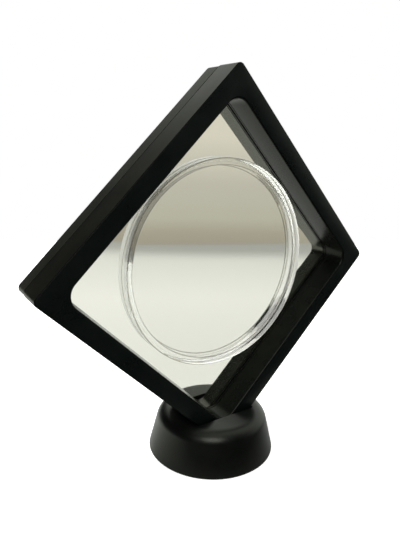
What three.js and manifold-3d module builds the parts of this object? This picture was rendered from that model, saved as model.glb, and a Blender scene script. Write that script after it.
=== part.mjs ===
// Floating frame display case: two hinged square frame halves, each with a clear film stretched across
// it, grip a round clear capsule between them. The closed case stands on one corner in a round base.
// Millimetres, +Z up, front towards -Y. The origin is on the table, under the middle of the base.
import * as THREE from "three";
import { mergeVertices } from "three/addons/utils/BufferGeometryUtils.js";
import Module from "manifold-3d";

const wasm = await Module();
wasm.setup();

// Case: the closed square box and how it stands
const frontDepth = 12;
const rearDepth = 8;
const cornerAboveTable = 3.7; // sharp lower corner of the case over the table
const partingGap = 0.3;
const seatGap = 0.3; // between pieces that rest on each other
const overrun = 1; // how far a cutter reaches past the face that it opens

// Frame bars: a U-shaped channel whose open side faces the parting plane
const barWidth = 7.4;
const rearBarWidth = 8.1; // the rear opening tapers in to this at the back
const rearStep = 0.2; // the rear half is this much smaller all round
const outerWall = 1.9;
const innerWall = 1.7;
const faceSkin = 2.4;
const outerCornerRadius = 2;
const frontOpeningRadius = 6;
const rearOpeningRadius = 3.4;
const frontInnerFillet = 1;
const frontOuterEdge = 0.35;
const rearOuterEdge = 1;
const cornerSteps = 6;
const edgeSteps = 3;

// Ribs that stiffen the channels
const ribThickness = 1.2;
const ribCount = 4;
const ribPitch = 24;

// Films and the rings that clamp them on the inner walls
const filmThickness = 0.25;
const filmGap = 0.12; // above and below a clamped film
const filmHold = 1.6; // how much film is clamped on the inner wall
const ringThickness = 1;
const ringWidth = 2.9;
const ringLipWidth = 0.9;
const ringLipDepth = 2.5;
const filmMargin = 4.5; // open film between the capsule and the bars, were it in the middle
const filmSideSteps = 12;

// Capsule: clear base and lid that lap at the edge
const capsuleRadius = 43.1;
const capsuleThickness = 7.8;
const capsuleWindow = 1.6;
const capsuleRim = 3.1; // from the space for the coin to the outer edge
const capsuleLap = 1.3; // wall of the inner part of the lap joint
const capsuleEdge = 0.7;
const capsuleShiftAcross = 1.9; // it sits a little off centre, towards the upper right side
const capsuleShiftUp = -0.4; // and towards the hinge side
const capsuleToFilm = 0.2;
const capsuleSegments = 72;

// Hinge on the lower right side of the case
const knuckleRadius = 1.4;
const knuckleLength = 5;
const knuckleCount = 3;
const knuckleGap = 0.3;
const hingeSpread = 40; // between the middles of the two hinges
const hingePinRadius = 0.55;
const pinClearance = 0.08;
const hingeRelief = 0.25;
const hingeSegments = 24;

// Latch on the opposite side: two tongues in sockets. A scoop for a thumb nail sits on the side
// between them, near the top corner
const tongueLength = 8;
const tongueThickness = 1.1;
const tongueReach = 3; // how far it goes into the front half
const tongueTaper = 0.3;
const tongueSpread = 50;
const scoopRadius = 12;
const scoopDepth = 1.2;
const scoopWidth = 5;
const scoopFromMiddle = 30;
const scoopSegments = 64;

// Base: a hollow moulded dome with a V-shaped pocket across it
const baseRadius = 27.7;
const baseTopRadius = 23.2; // where the sloping side would meet the flat top
const baseHeight = 18.2;
const baseShoulder = 5.8;
const baseWall = 2;
const baseFootEdge = 0.4;
const pocketClearance = 0.35; // beside the case at the pocket's floor
const pocketDraftDegrees = 2;
const pocketLift = 0.3; // floor of the pocket over its sharp corner
const pocketWall = 1.6;
const baseSegments = 72;
const shoulderSteps = 7;

const half = capsuleRadius + filmMargin + barWidth; // half the case's side, 55 for the 110 mm case
const caseDepth = frontDepth + rearDepth;
const frontFace = -caseDepth / 2;
const rearFace = caseDepth / 2;
const partingPlane = frontFace + frontDepth;
const frontPart = partingPlane - partingGap / 2; // parting face of the front half
const rearPart = partingPlane + partingGap / 2;
const caseCentreHeight = cornerAboveTable + half * Math.SQRT2;
const shelfDepth = ringThickness + filmGap * 2 + filmThickness; // inner wall below the parting face
const channelInset = barWidth - innerWall;
const filmOffset = filmGap + ringThickness; // film's near face from the parting face
const filmStand = capsuleThickness / 2 + capsuleToFilm; // film's near face from the parting plane

// Turns a closed geometry into a manifold solid.
function solidFrom(geometry) {
  const bare = geometry.clone();
  bare.deleteAttribute("normal");
  bare.deleteAttribute("uv");
  const merged = mergeVertices(bare);
  const mesh = new wasm.Mesh({
    numProp: 3,
    vertProperties: new Float32Array(merged.attributes.position.array),
    triVerts: new Uint32Array(merged.index.array),
  });
  return new wasm.Manifold(mesh);
}

// Turns a manifold solid back into a geometry.
function geometryFrom(solid) {
  const mesh = solid.getMesh();
  const geometry = new THREE.BufferGeometry();
  geometry.setAttribute("position", new THREE.BufferAttribute(mesh.vertProperties, mesh.numProp));
  geometry.setIndex(new THREE.BufferAttribute(mesh.triVerts, 1));
  const flat = geometry.toNonIndexed();
  flat.computeVertexNormals();
  return flat;
}

// Joins rings of points, each a closed loop of the same count, into one skin. A closed skin joins its
// last ring to its first. An open one ends in two flat discs, each a fan round a point in its middle.
function skinOf(rings, closed, discMiddles = []) {
  const count = rings[0].length;
  const points = [...rings.flat(), ...discMiddles];
  const faces = [];
  const last = closed ? rings.length : rings.length - 1;
  for (let ring = 0; ring < last; ring++) {
    const next = (ring + 1) % rings.length;
    for (let spot = 0; spot < count; spot++) {
      const beside = (spot + 1) % count;
      const a = ring * count + spot;
      const b = ring * count + beside;
      const c = next * count + beside;
      const d = next * count + spot;
      if (closed || ring < rings.length / 2) {
        faces.push(a, c, b, a, d, c);
      } else {
        faces.push(a, d, b, d, c, b);
      }
    }
  }
  if (!closed) {
    const top = (rings.length - 1) * count;
    const firstMiddle = rings.length * count;
    for (let spot = 0; spot < count; spot++) {
      const beside = (spot + 1) % count;
      faces.push(firstMiddle, spot, beside);
      faces.push(firstMiddle + 1, top + beside, top + spot);
    }
  }
  const geometry = new THREE.BufferGeometry();
  geometry.setAttribute("position", new THREE.Float32BufferAttribute(points.flat(), 3));
  geometry.setIndex(faces);
  return geometry;
}

// Corner radius at an inset from the outer side, from the outer corner's to the opening's.
function radiusAt(inset, openingRadius) {
  const share = inset / barWidth;
  return outerCornerRadius + (openingRadius - outerCornerRadius) * share;
}

// A rounded square loop at one inset and one y, with the same stations at every inset.
function squareLoop(inset, y, openingRadius, sideSteps) {
  const radius = radiusAt(inset, openingRadius);
  const centre = half - inset - radius;
  const loop = [];
  for (let corner = 0; corner < 4; corner++) {
    const turn = (corner * Math.PI) / 2;
    const cos = Math.cos(turn);
    const sin = Math.sin(turn);
    for (let step = 0; step <= cornerSteps; step++) {
      const angle = turn + (step * Math.PI) / 2 / cornerSteps;
      const x = (cos - sin) * centre + Math.cos(angle) * radius;
      const z = (sin + cos) * centre + Math.sin(angle) * radius;
      loop.push([x, y, z]);
    }
    for (let step = 1; step < sideSteps; step++) {
      const along = centre - (2 * centre * step) / sideSteps;
      loop.push([cos * along - sin * (centre + radius), y, sin * along + cos * (centre + radius)]);
    }
  }
  return loop;
}

// A bar section carried round the square: each point of the section is [inset, y].
function sweptBar(section, openingRadius) {
  return solidFrom(skinOf(section.map(([inset, y]) => squareLoop(inset, y, openingRadius, 1)), true));
}

// Quarter round from one tangent point to the next about a centre, angles in quarter turns.
function quarterRound(centreInset, centreY, radius, fromQuarter, toQuarter) {
  const points = [];
  for (let step = 0; step <= edgeSteps; step++) {
    const quarter = fromQuarter + ((toQuarter - fromQuarter) * step) / edgeSteps;
    const angle = (quarter * Math.PI) / 2;
    points.push([centreInset + Math.cos(angle) * radius, centreY + Math.sin(angle) * radius]);
  }
  return points;
}

// A box between two corners, given in any order.
function boxBetween(from, to) {
  const size = to.map((value, axis) => Math.abs(value - from[axis]));
  const middle = to.map((value, axis) => (value + from[axis]) / 2);
  return new THREE.BoxGeometry(...size).translate(...middle);
}

// A cylinder along the hinge line, between two places on it.
function hingeCylinder(radius, from, to) {
  const cylinder = new THREE.CylinderGeometry(radius, radius, to - from, hingeSegments);
  cylinder.rotateZ(Math.PI / 2);
  cylinder.translate((from + to) / 2, partingPlane, -half);
  return solidFrom(cylinder);
}

// Start of each knuckle of one hinge, along the hinge line.
function knuckleStarts(hingeMiddle) {
  const pitch = knuckleLength + knuckleGap;
  const hingeStart = hingeMiddle - (pitch * knuckleCount - knuckleGap) / 2;
  return Array.from({ length: knuckleCount }, (_, index) => hingeStart + index * pitch);
}

const hingeMiddles = [-hingeSpread / 2, hingeSpread / 2];
const tongueMiddles = [-tongueSpread / 2, tongueSpread / 2];
const hingeLength = (knuckleLength + knuckleGap) * knuckleCount - knuckleGap;

// Adds the knuckles whose order is even or odd to a frame half, and clears the others.
function withKnuckles(frame, parity) {
  let result = frame;
  for (const middle of hingeMiddles) {
    knuckleStarts(middle).forEach((start, index) => {
      const end = start + knuckleLength;
      if (index % 2 === parity) {
        result = result.add(hingeCylinder(knuckleRadius, start, end));
      } else {
        const relief = knuckleRadius + hingeRelief;
        result = result.subtract(hingeCylinder(relief, start - knuckleGap, end + knuckleGap));
      }
    });
    const from = middle - hingeLength / 2 - overrun;
    const to = middle + hingeLength / 2 + overrun;
    result = result.subtract(hingeCylinder(hingePinRadius + pinClearance, from, to));
  }
  return result;
}

// Scoop for a thumb nail across the parting line of the upper right side.
function thumbScoop() {
  const scoop = new THREE.CylinderGeometry(scoopRadius, scoopRadius, scoopWidth, scoopSegments);
  scoop.translate(half - scoopDepth + scoopRadius, partingPlane, scoopFromMiddle);
  return solidFrom(scoop);
}

const ribInset = barWidth - ringWidth - seatGap; // ribs stop short of the ring's lip

// A rib across the open side of the front half's channel, on the latch side.
function channelRib(from, to, floor) {
  const low = [from, floor - faceSkin / 2, half - ribInset];
  return boxBetween(low, [to, frontPart, half - outerWall / 2]);
}

// Stiffening ribs, the same on every side of the front half.
function stiffeningRibs(floor) {
  const ribs = [];
  for (let side = 0; side < 4; side++) {
    for (let index = 0; index < ribCount; index++) {
      const place = (index - (ribCount - 1) / 2) * ribPitch;
      const rib = channelRib(place - ribThickness / 2, place + ribThickness / 2, floor);
      ribs.push(rib.rotateY((side * Math.PI) / 2));
    }
  }
  return ribs;
}

// Walls on both sides of each tongue, in the front half's channel.
function socketRibs(floor) {
  const ribs = [];
  for (const middle of tongueMiddles) {
    for (const side of [-1, 1]) {
      const near = middle + side * (tongueLength / 2 + seatGap);
      ribs.push(channelRib(near, near + side * ribThickness, floor));
    }
  }
  return ribs;
}

// Front half: deep channel moulding with a soft inner edge round the opening.
function frontFrame() {
  const shelf = frontPart - shelfDepth;
  const floor = frontFace + faceSkin;
  const section = [
    [0, frontPart],
    [outerWall, frontPart],
    [outerWall, floor],
    [channelInset, floor],
    [channelInset, shelf],
    [barWidth, shelf],
    ...quarterRound(barWidth - frontInnerFillet, frontFace + frontInnerFillet, frontInnerFillet, 0, -1),
    ...quarterRound(frontOuterEdge, frontFace + frontOuterEdge, frontOuterEdge, -1, -2),
  ];
  let frame = sweptBar(section, frontOpeningRadius);
  for (const rib of [...stiffeningRibs(floor), ...socketRibs(floor)]) {
    frame = frame.add(solidFrom(rib));
  }
  return withKnuckles(frame.subtract(thumbScoop()), 0);
}

// A latch tongue: it grows from the rear half's channel and tapers at its tip in the front half.
function latchTongue(middle) {
  const outer = outerWall + seatGap;
  const inner = outer + tongueThickness;
  const root = rearFace - faceSkin / 2;
  const tip = rearPart - tongueReach;
  const outline = new THREE.Shape([
    new THREE.Vector2(root, half - outerWall / 2),
    new THREE.Vector2(rearPart + seatGap, half - outerWall / 2),
    new THREE.Vector2(rearPart + seatGap, half - outer),
    new THREE.Vector2(tip + tongueThickness, half - outer),
    new THREE.Vector2(tip, half - outer - tongueTaper),
    new THREE.Vector2(tip, half - inner + tongueTaper),
    new THREE.Vector2(tip + tongueThickness, half - inner),
    new THREE.Vector2(root, half - inner),
  ]);
  const tongue = new THREE.ExtrudeGeometry(outline, { depth: tongueLength, bevelEnabled: false });
  // The outline's x runs along y and its y along z, and the extrusion runs along x.
  tongue.applyMatrix4(new THREE.Matrix4().set(0, 0, 1, 0, 1, 0, 0, 0, 0, 1, 0, 0, 0, 0, 0, 1));
  return solidFrom(tongue.translate(middle - tongueLength / 2, 0, 0));
}

// Rear half: shallow channel moulding, tapered opening, rounded back edges, latch tongues.
function rearFrame() {
  const shelf = rearPart + shelfDepth;
  const floor = rearFace - faceSkin;
  const section = [
    [rearStep, rearPart],
    ...quarterRound(rearStep + rearOuterEdge, rearFace - rearOuterEdge, rearOuterEdge, 2, 1),
    [rearBarWidth, rearFace],
    [barWidth, shelf],
    [channelInset, shelf],
    [channelInset, floor],
    [outerWall, floor],
    [outerWall, rearPart],
  ];
  let frame = sweptBar(section, rearOpeningRadius);
  for (const middle of tongueMiddles) {
    frame = frame.add(latchTongue(middle));
  }
  return withKnuckles(frame.subtract(thumbScoop()), 1);
}

// Clamp ring: a flat band over the film with a lip that plugs into the channel. The near side is its
// parting face and away is the way into its half, -1 to the front or 1 to the rear.
function filmRing(near, away, openingRadius) {
  const outer = barWidth - ringWidth;
  const under = near + away * ringThickness;
  const section = [
    [outer, near],
    [outer, under + away * ringLipDepth],
    [outer + ringLipWidth, under + away * ringLipDepth],
    [outer + ringLipWidth, under],
    [barWidth, under],
    [barWidth, near],
  ];
  if (away < 0) {
    section.reverse();
  }
  return sweptBar(section, openingRadius);
}

// Loop on the capsule's edge with one spot for each spot of a square loop, in the same direction.
function capsuleLoop(square, radius, y) {
  return square.map(([x, , z]) => {
    const angle = Math.atan2(z - capsuleShiftUp, x - capsuleShiftAcross);
    const along = capsuleShiftAcross + Math.cos(angle) * radius;
    return [along, y, capsuleShiftUp + Math.sin(angle) * radius];
  });
}

// Middle of the disc whose edge is a loop on the capsule.
function middleOf(loop) {
  return [capsuleShiftAcross, loop[0][1], capsuleShiftUp];
}

// A film: flat where it is clamped, a slope up to the capsule's edge, and flat over the capsule.
function stretchedFilm(near, away, openingRadius) {
  const clampNear = near + away * filmOffset;
  const standNear = partingPlane + away * filmStand;
  const thickness = away * filmThickness;
  const held = barWidth - filmHold;
  const nearEdge = squareLoop(held, clampNear, openingRadius, filmSideSteps);
  const nearRim = squareLoop(barWidth, clampNear, openingRadius, filmSideSteps);
  const farEdge = squareLoop(held, clampNear + thickness, openingRadius, filmSideSteps);
  const farRim = squareLoop(barWidth, clampNear + thickness, openingRadius, filmSideSteps);
  const rings = [
    capsuleLoop(nearRim, capsuleRadius, standNear),
    nearRim,
    nearEdge,
    farEdge,
    farRim,
    capsuleLoop(farRim, capsuleRadius, standNear + thickness),
  ];
  if (away < 0) {
    rings.reverse();
  }
  const middles = [rings[0], rings[rings.length - 1]].map(middleOf);
  return solidFrom(skinOf(rings, false, middles));
}

// Half of the capsule's outer edge: a window with a rounded rim, as profile points [radius, y].
function rimPoints(away) {
  const face = (away * capsuleThickness) / 2;
  const points = [];
  for (let step = 0; step <= edgeSteps; step++) {
    const angle = (step * Math.PI) / 2 / edgeSteps;
    const out = capsuleRadius - capsuleEdge + Math.sin(angle) * capsuleEdge;
    points.push([out, face - away * capsuleEdge * (1 - Math.cos(angle))]);
  }
  return points;
}

// A profile of [radius, y] points turned about the capsule's axis.
function turned(profile) {
  const points = profile.map(([radius, y]) => new THREE.Vector2(radius, y));
  const geometry = new THREE.LatheGeometry(points, capsuleSegments);
  return solidFrom(geometry.translate(capsuleShiftAcross, partingPlane, capsuleShiftUp));
}

const windowInside = capsuleThickness / 2 - capsuleWindow;
const capsuleBore = capsuleRadius - capsuleRim;
const lapRadius = capsuleBore + capsuleLap;

// Base of the capsule: rear window, outer edge up to the seam, and a thin wall that the lid laps.
function capsuleBase() {
  const face = capsuleThickness / 2;
  return turned([
    [0, windowInside],
    [capsuleBore, windowInside],
    [capsuleBore, seatGap - windowInside],
    [lapRadius, seatGap - windowInside],
    [lapRadius, seatGap / 2],
    [capsuleRadius, seatGap / 2],
    ...rimPoints(1).reverse(),
    [0, face],
  ]);
}

// Lid of the capsule: front window and a skirt down to the seam.
function capsuleLid() {
  const face = -capsuleThickness / 2;
  return turned([
    [0, face],
    ...rimPoints(-1),
    [capsuleRadius, -seatGap / 2],
    [lapRadius + seatGap, -seatGap / 2],
    [lapRadius + seatGap, -windowInside],
    [0, -windowInside],
  ]);
}

// The dome's outline at an inset: sloping side, shoulder round and flat top, as [radius, z].
function domeOutline(inset, lowest) {
  const slope = Math.atan2(baseRadius - baseTopRadius, baseHeight);
  const shoulder = baseShoulder - inset;
  const centreZ = baseHeight - baseShoulder;
  const reach = baseTopRadius * Math.cos(slope) + baseHeight * Math.sin(slope);
  const centreRadius = (reach - baseShoulder - centreZ * Math.sin(slope)) / Math.cos(slope);
  const points = [[(reach - inset - lowest * Math.sin(slope)) / Math.cos(slope), lowest]];
  for (let step = 0; step <= shoulderSteps; step++) {
    const angle = slope + ((Math.PI / 2 - slope) * step) / shoulderSteps;
    points.push([centreRadius + Math.cos(angle) * shoulder, centreZ + Math.sin(angle) * shoulder]);
  }
  points.push([0, baseHeight - inset]);
  return points;
}

// An outline of [radius, z] points turned about the base's upright axis.
function domeSolid(outline) {
  const points = outline.map(([radius, z]) => new THREE.Vector2(radius, z));
  return solidFrom(new THREE.LatheGeometry(points, baseSegments).rotateX(Math.PI / 2));
}

// The pocket grown by a wall: a block with 45 degree ends and drafted sides, up to a height.
function pocketBlock(wall, top) {
  const draft = Math.tan(THREE.MathUtils.degToRad(pocketDraftDegrees));
  const sharp = cornerAboveTable - seatGap * Math.SQRT2;
  const floor = sharp + pocketLift - wall;
  const block = new THREE.BoxGeometry();
  const position = block.attributes.position;
  for (let index = 0; index < position.count; index++) {
    const z = position.getZ(index) > 0 ? top : floor;
    const rise = z - sharp;
    const halfX = rise + wall * Math.SQRT2;
    const halfY = rearFace + pocketClearance + rise * draft + wall;
    const x = Math.sign(position.getX(index)) * halfX;
    const y = Math.sign(position.getY(index)) * halfY;
    position.setXYZ(index, x, y, z);
  }
  return solidFrom(block);
}

// Base: dome, hollow below, with the pocket as a trough of its own wall inside the hollow.
function standBase() {
  const foot = domeOutline(0, baseFootEdge);
  const outside = domeSolid([[0, 0], [foot[0][0] - baseFootEdge, 0], ...foot]);
  const hollow = domeSolid([[0, -overrun], ...domeOutline(baseWall, -overrun)]);
  const trough = pocketBlock(pocketWall, baseHeight);
  return outside.subtract(hollow.subtract(trough)).subtract(pocketBlock(0, baseHeight + overrun));
}

// Steel pin of one hinge, a little shorter than its knuckles.
function hingePin(middle) {
  const reach = hingeLength / 2 - seatGap;
  return hingeCylinder(hingePinRadius, middle - reach, middle + reach);
}

const finishes = {
  blackFront: { color: 0x141415, roughness: 0.28, metalness: 0 },
  blackRear: { color: 0x171718, roughness: 0.36, metalness: 0 },
  blackStand: { color: 0x161617, roughness: 0.4, metalness: 0 },
  blackRing: { color: 0x1d1d1f, roughness: 0.5, metalness: 0 },
  steel: { color: 0x9a9c9e, roughness: 0.3, metalness: 1 },
  film: { color: 0xf2f4f3, roughness: 0.06, metalness: 0, transparent: true, opacity: 0.22 },
  clear: { color: 0xf6f8f8, roughness: 0.04, metalness: 0, transparent: true, opacity: 0.3 },
};

// A named mesh with its own material.
function piece(name, solid, finish) {
  const mesh = new THREE.Mesh(geometryFrom(solid), new THREE.MeshStandardMaterial(finishes[finish]));
  mesh.name = name;
  return mesh;
}

const displayCase = new THREE.Group();
displayCase.add(piece("stand_base", standBase(), "blackStand"));

// The closed case is modelled square and turned onto its corner: its local +Z side becomes the upper
// left one with the latch, and its local -Z side the lower right one with the hinges.
const closedCase = new THREE.Group();
closedCase.position.z = caseCentreHeight;
closedCase.rotation.y = -Math.PI / 4;
closedCase.add(
  piece("front_frame", frontFrame(), "blackFront"),
  piece("rear_frame", rearFrame(), "blackRear"),
  piece("front_film_ring", filmRing(frontPart, -1, frontOpeningRadius), "blackRing"),
  piece("rear_film_ring", filmRing(rearPart, 1, rearOpeningRadius), "blackRing"),
  piece("front_film", stretchedFilm(frontPart, -1, frontOpeningRadius), "film"),
  piece("rear_film", stretchedFilm(rearPart, 1, rearOpeningRadius), "film"),
  piece("capsule_base", capsuleBase(), "clear"),
  piece("capsule_lid", capsuleLid(), "clear"),
  piece("hinge_pin_upper", hingePin(hingeMiddles[1]), "steel"),
  piece("hinge_pin_lower", hingePin(hingeMiddles[0]), "steel"),
);
displayCase.add(closedCase);

export default displayCase;
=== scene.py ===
import math

import bmesh
import bpy
from mathutils import Matrix, Vector


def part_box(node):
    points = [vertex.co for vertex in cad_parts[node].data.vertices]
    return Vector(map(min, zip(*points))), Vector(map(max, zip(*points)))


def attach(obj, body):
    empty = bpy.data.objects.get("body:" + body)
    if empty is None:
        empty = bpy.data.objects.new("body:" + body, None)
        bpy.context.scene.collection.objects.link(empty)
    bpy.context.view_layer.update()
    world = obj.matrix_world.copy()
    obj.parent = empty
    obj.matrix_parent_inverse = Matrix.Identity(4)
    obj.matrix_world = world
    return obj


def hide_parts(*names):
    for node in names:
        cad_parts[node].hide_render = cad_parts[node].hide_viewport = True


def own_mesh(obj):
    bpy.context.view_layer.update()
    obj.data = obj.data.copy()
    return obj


# Floating frame display case: a black moulded case on its corner in a round base, two stretched films,
# and a clear round capsule between them. Lengths in the settings are millimetres and angles are degrees,
# unless a note says otherwise.

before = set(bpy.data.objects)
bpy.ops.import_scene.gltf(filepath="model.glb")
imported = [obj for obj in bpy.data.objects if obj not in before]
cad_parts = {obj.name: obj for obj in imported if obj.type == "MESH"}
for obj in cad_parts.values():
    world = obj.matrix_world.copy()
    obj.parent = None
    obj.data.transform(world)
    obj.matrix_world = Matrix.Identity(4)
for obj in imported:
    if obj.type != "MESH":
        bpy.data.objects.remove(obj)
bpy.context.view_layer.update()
mm = 0.001
toMetres = Matrix.Scale(mm, 4)
quarterTurn = math.radians(90)
alongDepth = Vector((0, 1, 0))
upright = Vector((0, 0, 1))
closeEnough = 0.001      # points nearer than this count as one
overrun = 1.0            # a cut reaches this far past the surface that it opens
scene = bpy.context.scene

caseSettings = {
    "side": 110.0,
    "frontDepth": 12.0,
    "partingGap": 0.3,
    "barWidth": 7.4,
    "rearBarWidth": 8.1,      # the rear opening narrows to this at its face
    "rearStep": 0.2,
    "outerWall": 1.9,
    "innerWall": 1.7,
    "faceSkin": 2.4,
    "outerCorner": 2.0,
    "frontOpeningCorner": 6.0,
    "rearOpeningCorner": 3.4,
    "cornerSegments": 12,
    "frontInnerRound": 0.8,
    "frontOuterRound": 0.35,
    "partingEase": 0.32,      # each half's outer edge eases off this far at the parting line
    "partingEaseDepth": 0.8,
    "rearOuterRound": 1.0,
    "roundSegments": 4,
    "smoothAngle": 35,        # edges that turn more than this stay sharp
}

frontLow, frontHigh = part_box("front_frame")
caseCentre = Vector((0.0, 0.0, (frontLow.z + frontHigh.z) / 2))
frontFace = frontLow.y / mm
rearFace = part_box("rear_frame")[1].y / mm
partingPlane = frontFace + caseSettings["frontDepth"]
halfSide = caseSettings["side"] / 2
cornerTurn = math.radians(-45)     # the square case stands on its corner, hinges at the lower right

lidLow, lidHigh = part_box("capsule_lid")
capsuleCentre = Vector(((lidLow.x + lidHigh.x) / 2, 0.0, (lidLow.z + lidHigh.z) / 2))


def turnAbout(axis, angle):
    return Matrix.Rotation(angle, 4, axis)


def toCase():
    # from the upright square that the case is drawn in to its place on its corner
    return Matrix.Translation(caseCentre) @ turnAbout("Y", cornerTurn) @ toMetres


def pieceFrom(name, bm, place):
    # one finished object at the origin, with its place in its mesh
    bmesh.ops.transform(bm, matrix=place, verts=bm.verts)
    bmesh.ops.recalc_face_normals(bm, faces=bm.faces)
    mesh = bpy.data.meshes.new(name)
    bm.to_mesh(mesh)
    bm.free()
    piece = bpy.data.objects.new(name, mesh)
    scene.collection.objects.link(piece)
    return piece


def combine(piece, tool, operation):
    # one piece joined with another or cut by it, which is used up
    modifier = piece.modifiers.new("combine", "BOOLEAN")
    modifier.operation = operation
    modifier.solver = "EXACT"
    modifier.object = tool
    graph = bpy.context.evaluated_depsgraph_get()
    joined = bpy.data.meshes.new_from_object(piece.evaluated_get(graph))
    piece.modifiers.remove(modifier)
    piece.data = joined
    piece.data.name = piece.name
    bpy.data.objects.remove(tool)


def shadeByAngle(piece, degrees):
    for polygon in piece.data.polygons:
        polygon.use_smooth = True
    piece.data.set_sharp_from_angle(angle=math.radians(degrees))


def dress(piece, material, body, slotName, *nodes):
    # the piece's material, the body that it moves with, and the solids that it stands for; its slot name is
    # not used
    piece.data.materials.clear()
    piece.data.materials.append(material)
    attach(piece, body)
    if nodes:
        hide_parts(*nodes)
    print("made", piece.name)


def linearColour(hexCode):
    # sRGB hex to the linear values that a shader takes
    channels = [int(hexCode[spot:spot + 2], 16) / 255 for spot in (1, 3, 5)]
    linear = [c / 12.92 if c <= 0.04045 else ((c + 0.055) / 1.055) ** 2.4 for c in channels]
    return (*linear, 1.0)


def addNode(tree, kind, inputs=None, **settings):
    # a node with its settings; an input, by its name or its number, takes a value or a socket to link from
    node = tree.nodes.new(kind)
    for name, value in settings.items():
        setattr(node, name, value)
    for name, value in (inputs or {}).items():
        if isinstance(value, bpy.types.NodeSocket):
            tree.links.new(value, node.inputs[name])
        else:
            node.inputs[name].default_value = value
    return node


def shadeByRay(tree, usual, specials):
    # one shader for most rays, and another for each kind or, with a depth, for all after such a bounce;
    # where two of them fit a ray, the later one counts
    path = addNode(tree, "ShaderNodeLightPath")
    shade = usual
    for ray, special in specials.items():
        mix = {"Fac": path.outputs[ray], 1: shade, 2: special}
        shade = addNode(tree, "ShaderNodeMixShader", mix).outputs["Shader"]
    return shade


def newMaterial(name):
    material = bpy.data.materials.new(name)
    material.use_nodes = True
    material.node_tree.nodes.clear()
    return material, material.node_tree


def perMetre(millimetres):
    # noise scale whose features are about this far apart
    return 1.0 / (millimetres * mm)


absSettings = {
    "ior": 1.54,
    "mirrorTint": (0.97, 1.0, 0.86, 1.0),    # a warm cast in what it mirrors
    "glossSpan": (0.3, 0.7),                 # the span of the smudges' noise that changes the gloss
    "toneSpan": (0.35, 0.65),                # and the span that changes the tone
}


def mouldedAbs(name, finish):
    # Moulded ABS from a spark-eroded or a polished tool: black right through, with a fine even grain
    # where the tool was eroded, and faint smudges from handling in its gloss. The real grain is too fine
    # to show, so it is drawn coarser.
    material, tree = newMaterial(name)
    place = addNode(tree, "ShaderNodeTexCoord").outputs["Object"]
    smudge = addNode(tree, "ShaderNodeTexNoise", {
        "Vector": place, "Scale": perMetre(finish["smudgeSize"]), "Detail": 3.0, "Roughness": 0.6,
    })
    glossLow, glossHigh = absSettings["glossSpan"]
    gloss = addNode(tree, "ShaderNodeMapRange", {
        "Value": smudge.outputs["Fac"], "From Min": glossLow, "From Max": glossHigh,
        "To Min": finish["roughness"] - finish["smudge"], "To Max": finish["roughness"] + finish["smudge"],
    })
    tint = addNode(tree, "ShaderNodeValToRGB", {"Fac": smudge.outputs["Fac"]})
    tones = zip(tint.color_ramp.elements, absSettings["toneSpan"], (finish["darkTone"], finish["lightTone"]))
    for element, position, tone in tones:
        element.position = position
        element.color = linearColour(tone)
    grain = addNode(tree, "ShaderNodeTexNoise", {
        "Vector": place, "Scale": perMetre(finish["grainSize"]), "Detail": 2.0, "Roughness": 0.5,
    })
    bump = addNode(tree, "ShaderNodeBump", {
        "Height": grain.outputs["Fac"], "Strength": finish["grain"], "Distance": finish["grainDepth"] * mm,
    })
    shader = addNode(tree, "ShaderNodeBsdfPrincipled", {
        "Base Color": tint.outputs["Color"], "Roughness": gloss.outputs["Result"],
        "IOR": absSettings["ior"], "Normal": bump.outputs["Normal"],
        "Specular IOR Level": finish["shine"], "Specular Tint": absSettings["mirrorTint"],
    })
    addNode(tree, "ShaderNodeOutputMaterial", {"Surface": shader.outputs["BSDF"]})
    return material


def clearPlastic(name, finish):
    # Clear moulded polystyrene or a stretched film: light goes through, with a little unevenness in
    # the surface that bends it. Haze is the share that a worn surface scatters instead, and contact the
    # share that two touching faces let straight through.
    material, tree = newMaterial(name)
    place = addNode(tree, "ShaderNodeTexCoord").outputs["Object"]
    ripple = addNode(tree, "ShaderNodeTexNoise", {
        "Vector": place, "Scale": perMetre(finish["rippleSize"]), "Detail": 2.0, "Roughness": 0.45,
    })
    bump = addNode(tree, "ShaderNodeBump", {
        "Height": ripple.outputs["Fac"], "Strength": finish["ripple"],
        "Distance": finish["rippleDepth"] * mm,
    })
    shader = addNode(tree, "ShaderNodeBsdfPrincipled", {
        "Base Color": linearColour(finish["colour"]), "Roughness": finish["roughness"],
        "IOR": finish["ior"], "Normal": bump.outputs["Normal"],
        "Transmission Weight": 1.0 - finish["haze"],
    })
    straight = addNode(tree, "ShaderNodeBsdfTransparent")
    contact = addNode(tree, "ShaderNodeMixShader", {
        "Fac": finish["contact"], 1: shader.outputs["BSDF"], 2: straight.outputs["BSDF"],
    })
    addNode(tree, "ShaderNodeOutputMaterial", {"Surface": contact.outputs["Shader"]})
    return material


steelSettings = {
    "colour": "#b9bbbd",
    "markSize": 0.4,
    "glossiest": 0.22,       # roughness between its marks, and on them
    "dullest": 0.42,
}


def drawnSteel(name):
    # Drawn steel wire: bright, with a gloss that the drawing left uneven. Its marks are too fine to
    # show, so they are drawn coarser.
    material, tree = newMaterial(name)
    place = addNode(tree, "ShaderNodeTexCoord").outputs["Object"]
    marks = addNode(tree, "ShaderNodeTexNoise", {
        "Vector": place, "Scale": perMetre(steelSettings["markSize"]), "Detail": 2.0,
    })
    gloss = addNode(tree, "ShaderNodeMapRange", {
        "Value": marks.outputs["Fac"],
        "To Min": steelSettings["glossiest"], "To Max": steelSettings["dullest"],
    })
    shader = addNode(tree, "ShaderNodeBsdfPrincipled", {
        "Base Color": linearColour(steelSettings["colour"]), "Metallic": 1.0,
        "Roughness": gloss.outputs["Result"],
    })
    addNode(tree, "ShaderNodeOutputMaterial", {"Surface": shader.outputs["BSDF"]})
    return material


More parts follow.
